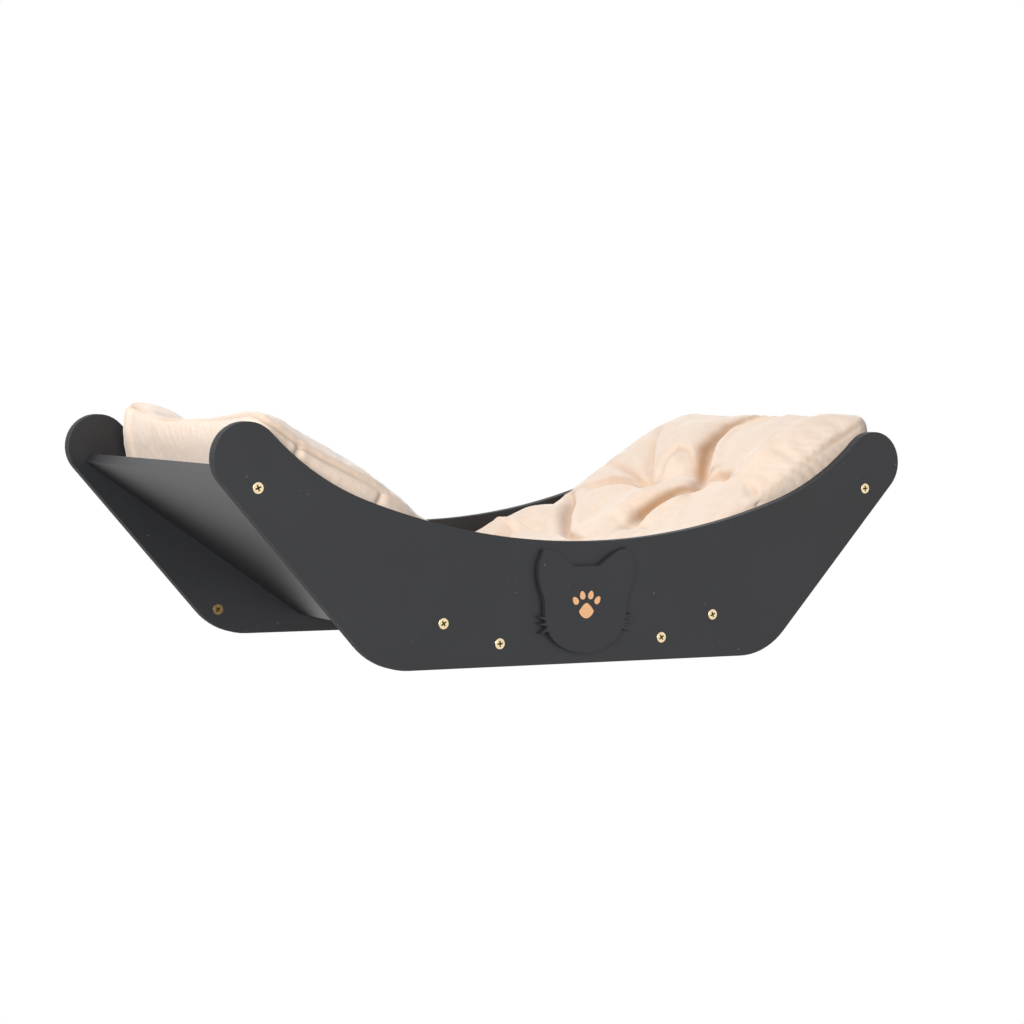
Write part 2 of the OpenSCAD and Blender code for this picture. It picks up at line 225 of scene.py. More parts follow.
def matte_black_paint(name, code, sawn=False):
    """Low-sheen paint: near black, with soft patches, a fine stipple and a few specks of dust.

    With sawn, the edges of an upright board stay duller than its faces, because they soak the paint up."""
    material, tree = new_material(name)
    coordinates = add(tree, "ShaderNodeTexCoord")
    place = coordinates.outputs["Object"]
    stipple = add(tree, "ShaderNodeTexNoise", [("Vector", place)], Scale=1 / STIPPLE, Detail=3.0)
    patches = add(tree, "ShaderNodeTexNoise", [("Vector", place)], Scale=PATCHES_PER_METRE, Detail=4.0)
    specks = add(tree, "ShaderNodeTexNoise", [("Vector", place)], Scale=1 / DUST_SPACING, Detail=2.0)
    dusty = add(tree, "ShaderNodeMapRange", [("Value", specks.outputs["Fac"])],
                From_Min=DUST_LEVELS[0], From_Max=DUST_LEVELS[1])
    shade = add(tree, "ShaderNodeMapRange", [("Value", patches.outputs["Fac"])],
                From_Min=PATCH_LEVELS[0], From_Max=PATCH_LEVELS[1],
                To_Min=PATCH_TONES[0], To_Max=PATCH_TONES[1])
    base = add(tree, "ShaderNodeMix", [(7, shade.outputs[0])], [(0, 1.0), (6, colour(code))],
               data_type="RGBA", blend_type="MULTIPLY")
    dusted = add(tree, "ShaderNodeMix", [(0, dusty.outputs[0]), (6, base.outputs[2])],
                 [(7, colour(DUST_COLOUR))], data_type="RGBA")
    bump = add(tree, "ShaderNodeBump", [("Height", stipple.outputs["Fac"])],
               Strength=STIPPLE_STRENGTH, Distance=STIPPLE_DEPTH)
    paint = add(tree, "ShaderNodeBsdfPrincipled",
                [("Base Color", dusted.outputs[2]), ("Normal", bump.outputs[0])],
                Roughness=PAINT_ROUGHNESS, IOR=1.5, Specular_IOR_Level=PAINT_GLOSS)
    if sawn:
        parts = add(tree, "ShaderNodeSeparateXYZ", [("Vector", coordinates.outputs["Normal"])])
        faces = add(tree, "ShaderNodeMath", [(0, parts.outputs["Y"])], operation="ABSOLUTE")
        finish = add(tree, "ShaderNodeMapRange", [("Value", faces.outputs[0])],
                     From_Min=SAWN_FACING[0], From_Max=SAWN_FACING[1],
                     To_Min=SAWN_ROUGHNESS, To_Max=PAINT_ROUGHNESS)
        tree.links.new(finish.outputs[0], paint.inputs["Roughness"])
    add(tree, "ShaderNodeOutputMaterial", [("Surface", paint.outputs[0])])
    return material


def break_edges(piece, width):
    """Rounds the sharp edges of a CAD node without touching its mesh."""
    weld = piece.modifiers.new("weld", "WELD")
    weld.merge_threshold = WELD_REACH
    flat = piece.modifiers.new("one_face_a_plane", "DECIMATE")
    flat.decimate_type = "DISSOLVE"
    flat.angle_limit = FLAT_WITHIN
    bevel = piece.modifiers.new("broken_edge", "BEVEL")
    bevel.width = width
    bevel.segments = 3
    bevel.limit_method = "ANGLE"
    bevel.angle_limit = EDGE_ANGLE
    bevel.harden_normals = True


def painted(node, paint, width):
    """The node's own object, painted and with its edges broken."""
    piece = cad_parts[node]
    piece.data.materials.clear()
    piece.data.materials.append(paint)
    break_edges(piece, width)
    return piece


board_paint = matte_black_paint("matte_black_board_paint", "#1c1d20")
panel_paint = matte_black_paint("matte_black_panel_paint", "#1c1d20", sawn=True)
for name in BOARD_NODES:
    piece = painted(name, panel_paint if "panel" in name else board_paint, EDGE_BREAK)


# Head plate: thin fibreboard cut to a cat's head and glued on the front panel, in the same black paint.
# Its edge is sharper than the boards' edges, so that the whiskers keep their points.
PLATE_EDGE_BREAK = 0.35 * MM

plate_paint = matte_black_paint("matte_black_plate_paint", "#1b1c1f", sawn=True)
plate = painted("cat_head_plate", plate_paint, PLATE_EDGE_BREAK)


# Paw print: a small inlay of copper-coloured foil, pressed on the middle of the head plate.
# It has one broad pad and four toes, which stand a hair proud of the paint.
PAW_PROUD = 0.15 * MM
PAW_HEIGHT = 0.45
PAD_SIZE = (12.5 * MM, 10.0 * MM)
TOE_SIZE = (4.6 * MM, 6.4 * MM)
TOE_TURNS = (-50, -17, 17, 50)
TOE_REACH = 12.6 * MM
PAW_SIDES = 40
PAD_DROP = 3.5 * MM
TOE_DROP = 4 * MM
PAD_WAIST = 0.7 * MM
EGG_SHAPE = 0.18
TOE_SPLAY = 0.7
FOIL_GRAIN = 0.8 * MM
FOIL_ROUGHNESS = (0.28, 0.5)


def copper_foil():
    """Brushed foil: a warm copper with a fine uneven sheen."""
    material, tree = new_material("brushed_copper_foil")
    place = add(tree, "ShaderNodeTexCoord").outputs["Object"]
    grain = add(tree, "ShaderNodeTexNoise", [("Vector", place)], Scale=1 / FOIL_GRAIN, Detail=2.0)
    rough = add(tree, "ShaderNodeMapRange", [("Value", grain.outputs["Fac"])],
                To_Min=FOIL_ROUGHNESS[0], To_Max=FOIL_ROUGHNESS[1])
    foil = add(tree, "ShaderNodeBsdfPrincipled", [("Roughness", rough.outputs[0])],
               Base_Color=colour("#f0b888"), Metallic=0.35)
    add(tree, "ShaderNodeOutputMaterial", [("Surface", foil.outputs[0])])
    return material


def paw_outline(width, height, centre, turn, waist):
    """Closed egg-shaped outline. waist draws the lower edge in, as on the broad pad of a paw."""
    points = []
    for i in range(PAW_SIDES):
        a = 2 * math.pi * i / PAW_SIDES
        x = width / 2 * math.sin(a) * (1 - EGG_SHAPE * math.cos(a))
        z = height / 2 * math.cos(a) + waist * math.cos(3 * a)
        points.append((centre[0] + x * math.cos(turn) + z * math.sin(turn),
                       centre[1] - x * math.sin(turn) + z * math.cos(turn)))
    return points


def mesh_from(bm, name):
    mesh = bpy.data.meshes.new(name)
    bm.to_mesh(mesh)
    bm.free()
    return mesh


def make_paw(plate_box):
    low, high = plate_box
    middle = (0.0, low[2] + PAW_HEIGHT * (high[2] - low[2]))
    shapes = [paw_outline(*PAD_SIZE, (middle[0], middle[1] - PAD_DROP), 0.0, PAD_WAIST)]
    for degrees in TOE_TURNS:
        turn = math.radians(degrees)
        centre = (middle[0] + TOE_REACH * math.sin(turn), middle[1] - TOE_DROP + TOE_REACH * math.cos(turn))
        shapes.append(paw_outline(*TOE_SIZE, centre, turn * TOE_SPLAY, 0.0))
    bm = bmesh.new()
    for shape in shapes:
        rim = [bm.verts.new((x, low[1], z)) for x, z in shape]
        face = bm.faces.new(rim)
        made = bmesh.ops.extrude_face_region(bm, geom=[face])
        tops = [v for v in made["geom"] if isinstance(v, bmesh.types.BMVert)]
        bmesh.ops.translate(bm, verts=tops, vec=(0, -PAW_PROUD, 0))
    bmesh.ops.recalc_face_normals(bm, faces=bm.faces)
    mesh = mesh_from(bm, "paw_inlay")
    mesh.materials.append(copper_foil())
    paw = new_object("paw_inlay", mesh)
    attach(paw, "frame")


make_paw(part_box("cat_head_plate"))


# Screws: steel countersunk screws with a cross recess, cold headed, their thread rolled, then plated
# yellow. A smooth neck passes through the panel, and the thread bites in the board or the wall plug.
SMALL_HEAD_R = 4 * MM
WALL_HEAD_R = 4.25 * MM
SCREW_SIDES = 40
RIM_ROUND = 0.12 * MM
RIM_ROUND_DEPTH = 0.1 * MM
RIM_LAND = 0.35 * MM
NECK_STEP = 0.4 * MM
POINT_R = 0.25 * MM
RECESS_ARM = 2.3 * MM
RECESS_WIDTH = 1.15 * MM
RECESS_DEPTH = 2.1 * MM
RECESS_TAPER = 0.42
SLOT_TAPER = 0.8
CUTTER_RISE = 0.2 * MM
CUTTER_FLARE = 1.05
THREAD_ROOT_SHARE = 0.7
THREAD_PITCH = 2.0 * MM
THREAD_STEPS = 18
THREAD_START = 0.5 * MM
THREAD_STOP = 0.6 * MM
TIP_LENGTH = 5 * MM
HARD_ANGLE = math.radians(32)
SCREW_SEED = 5

# section of the thread's ridge, as shares of the root's radius and of the pitch, and the least at the tip
RIDGE_FOOT = 0.94
RIDGE_HALF_WIDTH = 0.22
RIDGE_LEAST_WIDTH = 0.02 * MM
TIP_RIDGE = 0.05
TIP_ROOT = 0.12

# which faces count as the recess and take its painted shade, measured from the head's face, the cutter's
# arms and the cone
RECESS_FROM = 0.12 * MM
RECESS_PAST = 0.05 * MM
RECESS_REACH = 1.06
CONE_WITHIN = 0.2 * MM

# real scratches are finer, and are drawn this coarse to show
PLATING_CLOUD = 3 * MM
SCRATCH = 0.3 * MM
SCRATCH_DEPTH = 0.03 * MM
SCRATCH_STRENGTH = 0.12

base_low, base_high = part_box("bottom_board")
board_t = base_high[2] - base_low[2]
screw_turns = random.Random(SCREW_SEED)


def yellow_plating(name, pale, deep, rough):
    """Zinc plated and yellow passivated steel: a warm satin metal with faint cloudy patches."""
    material, tree = new_material(name)
    place = add(tree, "ShaderNodeTexCoord").outputs["Object"]
    clouds = add(tree, "ShaderNodeTexNoise", [("Vector", place)], Scale=1 / PLATING_CLOUD, Detail=3.0)
    tint = add(tree, "ShaderNodeMix", [(0, clouds.outputs["Fac"])],
               [(6, colour(pale)), (7, colour(deep))], data_type="RGBA")
    scratch = add(tree, "ShaderNodeTexNoise", [("Vector", place)], Scale=1 / SCRATCH, Detail=2.0)
    bump = add(tree, "ShaderNodeBump", [("Height", scratch.outputs["Fac"])],
               Strength=SCRATCH_STRENGTH, Distance=SCRATCH_DEPTH)
    steel = add(tree, "ShaderNodeBsdfPrincipled",
                [("Base Color", tint.outputs[2]), ("Normal", bump.outputs[0])],
                Metallic=1.0, Roughness=rough)
    add(tree, "ShaderNodeOutputMaterial", [("Surface", steel.outputs[0])])
    return material


def dark_recess():
    """Painted shade in the recess: the metal there is brown and dull, standing for the shade inside the
    cross.
    """
    material, tree = new_material("recess_painted_shade")
    steel = add(tree, "ShaderNodeBsdfPrincipled", Base_Color=colour("#5c3d1a"), Metallic=0.6, Roughness=0.7)
    add(tree, "ShaderNodeOutputMaterial", [("Surface", steel.outputs[0])])
    return material


def ring_of(bm, radius, along):
    points = []
    for i in range(SCREW_SIDES):
        a = 2 * math.pi * i / SCREW_SIDES
        points.append(bm.verts.new((radius * math.cos(a), along, radius * math.sin(a))))
    return points


def bridge(bm, a, b):
    count = len(a)
    for i in range(count):
        bm.faces.new((a[i], a[(i + 1) % count], b[(i + 1) % count], b[i]))


def turned(bm, profile):
    """Closed body from (radius, along) pairs, with a flat cap at each end."""
    rings = [ring_of(bm, radius, along) for radius, along in profile]
    for a, b in zip(rings, rings[1:]):
        bridge(bm, a, b)
    bm.faces.new(rings[0])
    bm.faces.new(list(reversed(rings[-1])))


def cross_cutter():
    """Tapered cross that cuts the recess, its wide end a little above the head."""
    arm, half = RECESS_ARM, RECESS_WIDTH / 2
    outline = [(arm, -half), (arm, half), (half, half), (half, arm), (-half, arm), (-half, half),
               (-arm, half), (-arm, -half), (-half, -half), (-half, -arm), (half, -arm), (half, -half)]
    bm = bmesh.new()
    share = {arm: RECESS_TAPER, half: SLOT_TAPER}
    top = [bm.verts.new((x * CUTTER_FLARE, -CUTTER_RISE, z * CUTTER_FLARE)) for x, z in outline]
    low = [bm.verts.new((x * share[abs(x)], RECESS_DEPTH, z * share[abs(z)])) for x, z in outline]
    bridge(bm, top, low)
    bm.faces.new(top)
    bm.faces.new(list(reversed(low)))
    bmesh.ops.recalc_face_normals(bm, faces=bm.faces)
    return mesh_from(bm, "recess_cutter")


def thread(bm, root, crest, start, end):
    """Helical ridge with a triangular section, running out to nothing on the tip."""
    turns = (end - start) / THREAD_PITCH
    steps = int(turns * THREAD_STEPS)
    before = None
    for i in range(steps + 1):
        along = start + (end - start) * i / steps
        a = 2 * math.pi * i / THREAD_STEPS
        slim = min(1.0, max(TIP_RIDGE, (end - along) / TIP_LENGTH)) * min(1.0, (i + 1) / THREAD_STEPS)
        inner = root * min(1.0, max(TIP_ROOT, (end - along) / TIP_LENGTH)) * RIDGE_FOOT
        outer = inner + (crest - root * RIDGE_FOOT) * slim
        width = THREAD_PITCH * RIDGE_HALF_WIDTH * slim + RIDGE_LEAST_WIDTH
        section = [bm.verts.new((r * math.cos(a), along + shift, r * math.sin(a)))
                   for r, shift in ((inner, -width), (outer, 0.0), (inner, width))]
        if before:
            bridge(bm, before, section)
        else:
            bm.faces.new(section)
        before = section
    bm.faces.new(list(reversed(before)))


def recessed(body_mesh):
    """The turned body with the cross cut into its head."""
    body = new_object("turned_screw", body_mesh)
    cutter = new_object("cutter", cross_cutter())
    cut = body.modifiers.new("recess", "BOOLEAN")
    cut.object = cutter
    cut.solver = "EXACT"
    bpy.context.view_layer.update()
    whole = bpy.data.meshes.new_from_object(body.evaluated_get(bpy.context.evaluated_depsgraph_get()))
    for made in (body, cutter):
        bpy.data.objects.remove(made)
    return whole


def screw_mesh(name, head_r, head_h, neck_r, thread_r, length):
    """One screw along +Y with its head's face at y = 0. The neck ends where the panel does."""
    root = thread_r * THREAD_ROOT_SHARE
    bm = bmesh.new()
    turned(bm, [(head_r - RIM_ROUND, 0.0), (head_r, RIM_ROUND_DEPTH), (head_r, RIM_LAND),
                (neck_r, head_h), (neck_r, board_t), (root, board_t + NECK_STEP),
                (root, length - TIP_LENGTH), (POINT_R, length)])
    bmesh.ops.recalc_face_normals(bm, faces=bm.faces)
    whole = recessed(mesh_from(bm, name))
    spare = bmesh.new()
    thread(spare, root, thread_r, board_t + THREAD_START, length - THREAD_STOP)
    bmesh.ops.recalc_face_normals(spare, faces=spare.faces)
    bm = bmesh.new()
    bm.from_mesh(whole)
    bm.from_mesh(mesh_from(spare, "thread"))
    bm.to_mesh(whole)
    bm.free()
    for face in whole.polygons:
        face.use_smooth = True
        x, y, z = face.center
        away = math.hypot(x, z)
        inside = RECESS_FROM < y < RECESS_DEPTH + RECESS_PAST and away < RECESS_REACH * RECESS_ARM
        on_cone = y < head_h and abs(away - (head_r - (head_r - neck_r) * y / head_h)) < CONE_WITHIN
        # faces in the recess take the second slot, the brown painted shade
        face.material_index = 1 if inside and not on_cone else 0
    return whole


def place_screws(node, screw, head_r, metal):
    """Stands a copy of the screw at each solid of the node. The node's box gives the places."""
    low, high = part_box(node)
    from_back = node.startswith("back")
    if "left" in node or "right" in node:
        side = -1 if "left" in node else 1
        ends = sorted((abs(low[0]), abs(high[0])))
        places = [(side * (ends[0] + head_r), low[2] + head_r),
                  (side * (ends[1] - head_r), high[2] - head_r)]
    else:
        middle = (low[2] + high[2]) / 2
        places = [(low[0] + head_r, middle), (high[0] - head_r, middle)]
    bm = bmesh.new()
    for x, z in places:
        face = high[1] if from_back else low[1]
        flip = Matrix.Rotation(math.pi, 4, "Z") if from_back else Matrix.Identity(4)
        spin = Matrix.Rotation(math.radians(screw_turns.uniform(0, 90)), 4, "Y")
        count = len(bm.verts)
        bm.from_mesh(screw)
        bm.verts.ensure_lookup_table()
        placed = Matrix.Translation((x, face, z)) @ flip @ spin
        bmesh.ops.transform(bm, matrix=placed, verts=bm.verts[count:])
    mesh = mesh_from(bm, node + "_turned")
    mesh.materials.append(metal)
    mesh.materials.append(recess)
    piece = new_object(node + "_turned", mesh)
    split = piece.modifiers.new("hard_edges", "EDGE_SPLIT")
    split.split_angle = HARD_ANGLE
    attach(piece, "frame")
    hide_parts(node)


plating = yellow_plating("yellow_passivated_steel", "#fbeecb", "#ebcd98", 0.34)
# painted shade: the wall screws' plating is browner and darker, for the shade of the end board over them
wall_plating_painted_shade = yellow_plating("dull_yellow_passivated_steel_painted_shade", "#ab9065", "#8d7146", 0.5)
# painted shade for the inside of each cross recess
recess = dark_recess()
small_screw = screw_mesh("small_screw", head_r=SMALL_HEAD_R, head_h=2.4 * MM, neck_r=1.45 * MM,
                         thread_r=2 * MM, length=35 * MM)
wall_screw = screw_mesh("wall_screw", head_r=WALL_HEAD_R, head_h=2.6 * MM, neck_r=1.65 * MM,
                        thread_r=2.25 * MM, length=50 * MM)
for side in ("left", "right", "bottom"):
    place_screws("front_screws_" + side, small_screw, SMALL_HEAD_R, plating)
    place_screws("back_screws_" + side, small_screw, SMALL_HEAD_R, plating)
for row in ("lower", "upper"):
    place_screws("wall_screws_" + row, wall_screw, WALL_HEAD_R, wall_plating_painted_shade)


# Cushion: a boxed cover of cream velvet, sewn from a top, a base and a border strip, stuffed with fibre.
# Tufts sewn through it draw soft folds into the crown, and it lies loose in the nest over both bends.
# Three measures place a point: s along the underside, v across the depth and n off the underside.
CELL = 3.6 * MM
SEAM_LINE = 1.6 * MM

# where it lies: over both bends, and past the ends of the slopes
BEND_RADIUS = 82 * MM
OVER_LEFT = 6 * MM
OVER_RIGHT = 27 * MM
SIDE_GAP = 0.5 * MM

# border strip, crown over it, and how the stuffing bulges them
BORDER = 40 * MM
BORDER_BULGE = 2.5 * MM
END_BULGE = 2.2
CROWN = 9 * MM
CROWN_REACH = 46 * MM
BEND_LIFT = 8 * MM
BEND_SHIFT = 10 * MM
BEND_REACH = 34 * MM

# outline of the top and base, which the thread draws in between the corners
PLAN_CORNER = 20 * MM
SIDE_DRAW = 4 * MM
END_DRAW = 6 * MM
END_LEAN = 36 * MM
END_LEAN_REACH = 70 * MM
SEAM_LIFT = 5 * MM
SEAM_LIFT_REACH = 9 * MM
SEAM_FADE = 9 * MM

# tufts, with their places on the crown in mm
TUFT_DEPTH = 11 * MM
TUFT_WIDTH = 12 * MM
TUFT_POWER = 1.2
TUFTS = ((219, 34), (225, -36), (4, 44), (-4, -42), (-222, 42), (-226, -36))

rest_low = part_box("cushion_cover")[0][2]
slope_low, slope_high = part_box("right_end_board")
rest_gap = rest_low - base_high[2]
slope_cos = (base_high[2] - slope_low[2]) / board_t
slope = math.acos(slope_cos)
slope_length = (slope_high[2] - base_high[2]) / math.sin(slope)
half_depth = (slope_high[1] - slope_low[1]) / 2 - SIDE_GAP
mid_depth = (slope_high[1] + slope_low[1]) / 2
path_start_x = slope_low[0] - rest_gap * math.tan(slope / 2)
path_flat = path_start_x - BEND_RADIUS * math.tan(slope / 2)
path_bend = path_flat + BEND_RADIUS * slope
path_end = path_bend + slope_length - BEND_RADIUS * math.tan(slope / 2)
left_end = path_end + OVER_LEFT
right_end = path_end + OVER_RIGHT


def on_path(s, v, n):
    """Places of the cushion's points in the bed's frame."""
    side = np.where(s < 0, -1.0, 1.0)
    run = np.abs(s)
    turn = np.clip((run - path_flat) / BEND_RADIUS, 0.0, slope)
    past = np.maximum(run - path_bend, 0.0)
    x = np.minimum(run, path_flat) + BEND_RADIUS * np.sin(turn) + past * math.cos(slope) - n * np.sin(turn)
    z = rest_low + BEND_RADIUS * (1 - np.cos(turn)) + past * math.sin(slope) + n * np.cos(turn)
    return np.stack([side * x, mid_depth + v, z], axis=1)


def off_path(points):
    """The reverse of on_path."""
    side = np.where(points[:, 0] < 0, -1.0, 1.0)
    x = np.abs(points[:, 0])
    v = points[:, 1] - mid_depth
    up = points[:, 2] - rest_low
    away_x = x - (path_flat + BEND_RADIUS * math.sin(slope))
    away_z = up - BEND_RADIUS * (1 - math.cos(slope))
    along = away_x * math.cos(slope) + away_z * math.sin(slope)
    off = -away_x * math.sin(slope) + away_z * math.cos(slope)
    swing = np.arctan2(x - path_flat, BEND_RADIUS - up)
    in_bend = (along < 0) & (x > path_flat)
    s = np.where(along >= 0, path_bend + along, np.where(in_bend, path_flat + BEND_RADIUS * swing, x))
    n = np.where(along >= 0, off,
                 np.where(in_bend, BEND_RADIUS - np.hypot(x - path_flat, BEND_RADIUS - up), up))
    return side * s, v, n


def lines(low, high):
    """Places of the lattice lines between two seams, with one more line close beside each seam."""
    count = max(2, round((high - low) / CELL))
    inner = np.linspace(low, high, count + 1)[1:-1]
    return np.concatenate([[low, low + SEAM_LINE], inner, [high - SEAM_LINE, high]])


def box_lattice(a, b, c):
    """Closed quad mesh over the faces of a box: the three line numbers of each point, and the faces."""
    last = (len(a) - 1, len(b) - 1, len(c) - 1)
    index, numbers, quads = {}, [], []

    def point(place):
        if place not in index:
            index[place] = len(numbers)
            numbers.append(place)
        return index[place]

    for axis in range(3):
        p, q = [d for d in range(3) if d != axis]
        for end in (0, last[axis]):
            for i in range(last[p]):
                for j in range(last[q]):
                    corners = []
                    for di, dj in ((0, 0), (1, 0), (1, 1), (0, 1)):
                        place = [0, 0, 0]
                        place[axis], place[p], place[q] = end, i + di, j + dj
                        corners.append(point(tuple(place)))
                    flip = (end == 0) == (axis != 1)
                    quads.append(corners[::-1] if flip else corners)
    return np.array(numbers), quads


def peak(away, reach, power=2):
    """Bell curve: 1 on the line, and about a third at the reach."""
    return np.exp(-((away / reach) ** power))


def share_along(s, v, start, stop):
    """How far along a straight line each point lies, from 0 to 1."""
    ds, dv = stop[0] - start[0], stop[1] - start[1]
    return np.clip(((s - start[0]) * ds + (v - start[1]) * dv) / (ds * ds + dv * dv), 0.0, 1.0)


def along_route(s, v, route):
    """Distance in mm to a route of (s, v, strength) points, the side from -1 to 1, and the strength."""
    best = np.full(s.shape, 1e9)
    side = np.ones(s.shape)
    strength = np.zeros(s.shape)
    for (s0, v0, w0), (s1, v1, w1) in zip(route, route[1:]):
        ds, dv = s1 - s0, v1 - v0
        t = share_along(s, v, (s0, v0), (s1, v1))
        away = np.hypot(s - s0 - t * ds, v - v0 - t * dv)
        cross = ds * (v - v0) - dv * (s - s0)
        nearer = away < best
        strength = np.where(nearer, w0 + (w1 - w0) * t, strength)
        side = np.where(nearer, cross / (math.hypot(ds, dv) * np.maximum(away, 0.01)), side)
        best = np.where(nearer, away, best)
    return best, side, strength


# A leaning fold is narrow on its steep side and wide on the other, and a low bank stands beside it.
# The bank's height is a share of the fold's depth, and its place and reach are shares of the width.
FOLD_POWER = 1.5
STEEP_NARROWS = 0.45
GENTLE_WIDENS = 0.9
BANK = 0.05
STEEP_BANK = 0.1
BANK_AT = 2.4
BANK_REACH = 1.2


def fold(s, v, depth, width, lean, route):
    """Depth of a fold. With a lean the bank on its right stands up, as where cloth doubles over."""
    away, side, strength = along_route(s, v, route)
    steep = -lean * side
    reach = width * np.where(steep > 0, 1 - STEEP_NARROWS * steep, 1 - GENTLE_WIDENS * steep)
    height = BANK + STEEP_BANK * np.maximum(steep, 0)
    bank = height * peak(away - BANK_AT * reach, BANK_REACH * reach)
    return depth * strength * (peak(away, reach, FOLD_POWER) - bank)


# depth, width and lean of each fold, and its route as (s, v, strength), in mm: the right part first,
# then the left part, the fold between left part and middle, and the middle
FOLDS = (
    (16, 7, 0.8, ((225, -36, 0.7), (242, -23, 1.0), (256, -11, 1.0), (276, 3, 1.0), (294, 9, 0.9),
                  (307, 13, 0.8), (317, 10, 0.7), (324, 0, 0.6), (328, -18, 0.4))),
    (7, 7, 0.0, ((219, 34, 0.8), (235, 47, 1.0), (252, 66, 1.0), (272, 87, 0.8), (290, 102, 0.4))),
    (7, 6, 0.0, ((219, 34, 0.8), (222, 50, 1.0), (229, 70, 1.0), (235, 93, 0.8), (240, 112, 0.4))),
    (8, 5, -0.4, ((219, 34, 0.8), (216, 59, 1.0), (212, 77, 0.9), (200, 95, 0.5))),
    (5, 5, 0.3, ((222, 34, 0.5), (233, 28, 0.8), (248, 36, 1.0), (261, 37, 1.0), (260, 21, 0.8),
                 (248, 0, 0.5), (232, -23, 0.6))),
    (15, 6, -0.8, ((225, -36, 0.7), (207, -26, 0.9), (189, -22, 1.0), (177, -21, 1.0), (158, -26, 0.4))),
    (9, 3.5, 0.3, ((225, -36, 0.5), (236, -46, 0.8), (236, -58, 1.0), (232, -70, 0.5))),
    (6, 3, 0.4, ((224, -104, 0.2), (218, -115, 0.9), (212, -128, 1.0))),
    (12, 3.5, 0.5, ((188, 112, 0.4), (175, 93, 0.9), (161, 77, 1.0), (148, 62, 1.0), (128, 36, 0.8),
                    (120, 4, 0.4))),
    (10, 3.5, 0.5, ((266, -84, 0.4), (293, -78, 1.0), (306, -77, 1.0), (318, -76, 0.5))),
    (4, 5, 0.0, ((158, -42, 0.6), (154, -24, 0.9), (156, 3, 0.4))),
    (5, 6, 0.0, ((-303, 50, 0.9), (-285, 40, 1.0), (-222, 42, 1.0))),
    (7, 6, 0.3, ((-226, -36, 1.0), (-256, -50, 0.8), (-292, -74, 0.4))),
    (8, 6, -0.3, ((-226, -36, 1.0), (-196, -50, 0.9), (-160, -56, 0.4))),
    (6, 6, 0.4, ((-222, 42, 1.0), (-192, 54, 0.9), (-152, 78, 0.3))),
    (5, 8, 0.0, ((-222, 42, 1.0), (-224, 0, 0.7), (-226, -36, 1.0))),
    (5, 7, 0.0, ((-222, 42, 1.0), (-228, 80, 0.8), (-222, 112, 0.4))),
    (5, 6, 0.0, ((-226, -36, 1.0), (-222, -70, 0.8), (-216, -104, 0.5))),
    (7, 5, 0.3, ((-112, 124, 0.8), (-120, 84, 1.0), (-114, 30, 1.0), (-102, -34, 0.8), (-110, -88, 1.0),
                 (-104, -124, 0.6))),
    (7, 7, 0.4, ((4, 44, 1.0), (40, 54, 0.9), (72, 78, 0.3))),
    (6, 8, 0.0, ((4, 44, 1.0), (0, 0, 0.7), (-4, -42, 1.0))),
    (7, 7, -0.3, ((4, 44, 1.0), (-40, 58, 0.8), (-80, 60, 0.3))),
    (6, 7, 0.3, ((-4, -42, 1.0), (38, -54, 0.9), (84, -50, 0.3))),
    (6, 7, 0.0, ((-4, -42, 1.0), (-44, -42, 0.8), (-84, -54, 0.3))),
    (5, 7, 0.0, ((4, 44, 1.0), (9, 84, 0.7), (2, 114, 0.3))),
    (5, 7, 0.0, ((-4, -42, 1.0), (-8, -82, 0.7), (-2, -112, 0.3))),
)

# height of each swell, its reach along s and v, and the line that it runs along, in mm
SWELLS = (
    (17, 28, 40, ((80, 104), (136, 100))),
    (9, 22, 50, ((64, 30), (72, -70))),
    (9, 24, 22, ((30, 116), (62, 112))),
    (8, 30, 44, ((-110, 60), (-110, -60))),
    (11, 44, 30, ((-284, -84), (-150, -84))),
    (4, 24, 28, ((-292, 108), (-286, 96))),
    (-5, 30, 34, ((160, -56), (250, -50))),
    (9, 24, 24, ((262, -92), (322, -98))),
    (3, 22, 18, ((262, -48), (306, -44))),
    (-7, 15, 18, ((222, 16), (242, -2))),
    (4, 20, 20, ((196, 10), (160, 4))),
    (3, 24, 22, ((270, 30), (300, 60))),
)

# the same for swells that lift or lower the seam too, and the border with it
EDGE_SWELLS = (
    (6, 32, 32, ((-306, 124), (-296, 110))),
    (-6, 34, 30, ((-306, 56), (-290, -70))),
    (-9, 36, 60, ((345, -84), (345, 110))),
    (5, 26, 34, ((345, -28), (345, 10))),
    (9, 44, 36, ((-214, -131), (-200, -131))),
)


def swells(s, v, rows):
    """Total height of the swells at a place of the crown."""
    total = np.zeros(s.shape)
    for height, reach_s, reach_v, ((s0, v0), (s1, v1)) in rows:
        t = share_along(s, v, (s0, v0), (s1, v1))
        far = np.hypot((s - s0 - t * (s1 - s0)) / reach_s, (v - v0 - t * (v1 - v0)) / reach_v)
        total = total + height * peak(far, 1)
    return total


def crown_top(s, v, edge):
    """Height of the crown off the underside, edge being the distance to the seam, all in mm."""
    rise = np.sqrt(1 - (1 - np.minimum(edge / (CROWN_REACH / MM), 1)) ** 2)
    past_bend = np.abs(s) - (path_flat + path_bend) / 2 / MM - BEND_SHIFT / MM
    lift = BEND_LIFT / MM * peak(past_bend, BEND_REACH / MM)
    top = BORDER / MM + lift + swells(s, v, EDGE_SWELLS) + rise * (CROWN / MM + swells(s, v, SWELLS))
    hollow = np.zeros(s.shape)
    for ts, tv in TUFTS:
        away = np.hypot(s - ts, v - tv)
        hollow = hollow + (TUFT_DEPTH / MM * peak(away, TUFT_WIDTH / MM, TUFT_POWER)) ** 2
    fade = 1 - peak(edge, SEAM_FADE / MM)
    bank = np.zeros(s.shape)
    for depth, width, lean, route in FOLDS:
        dip = fold(s, v, depth, width, lean, route) * fade
        hollow = hollow + np.maximum(dip, 0) ** 2
        bank = bank + np.minimum(dip, 0)
    return top - np.sqrt(hollow) - bank


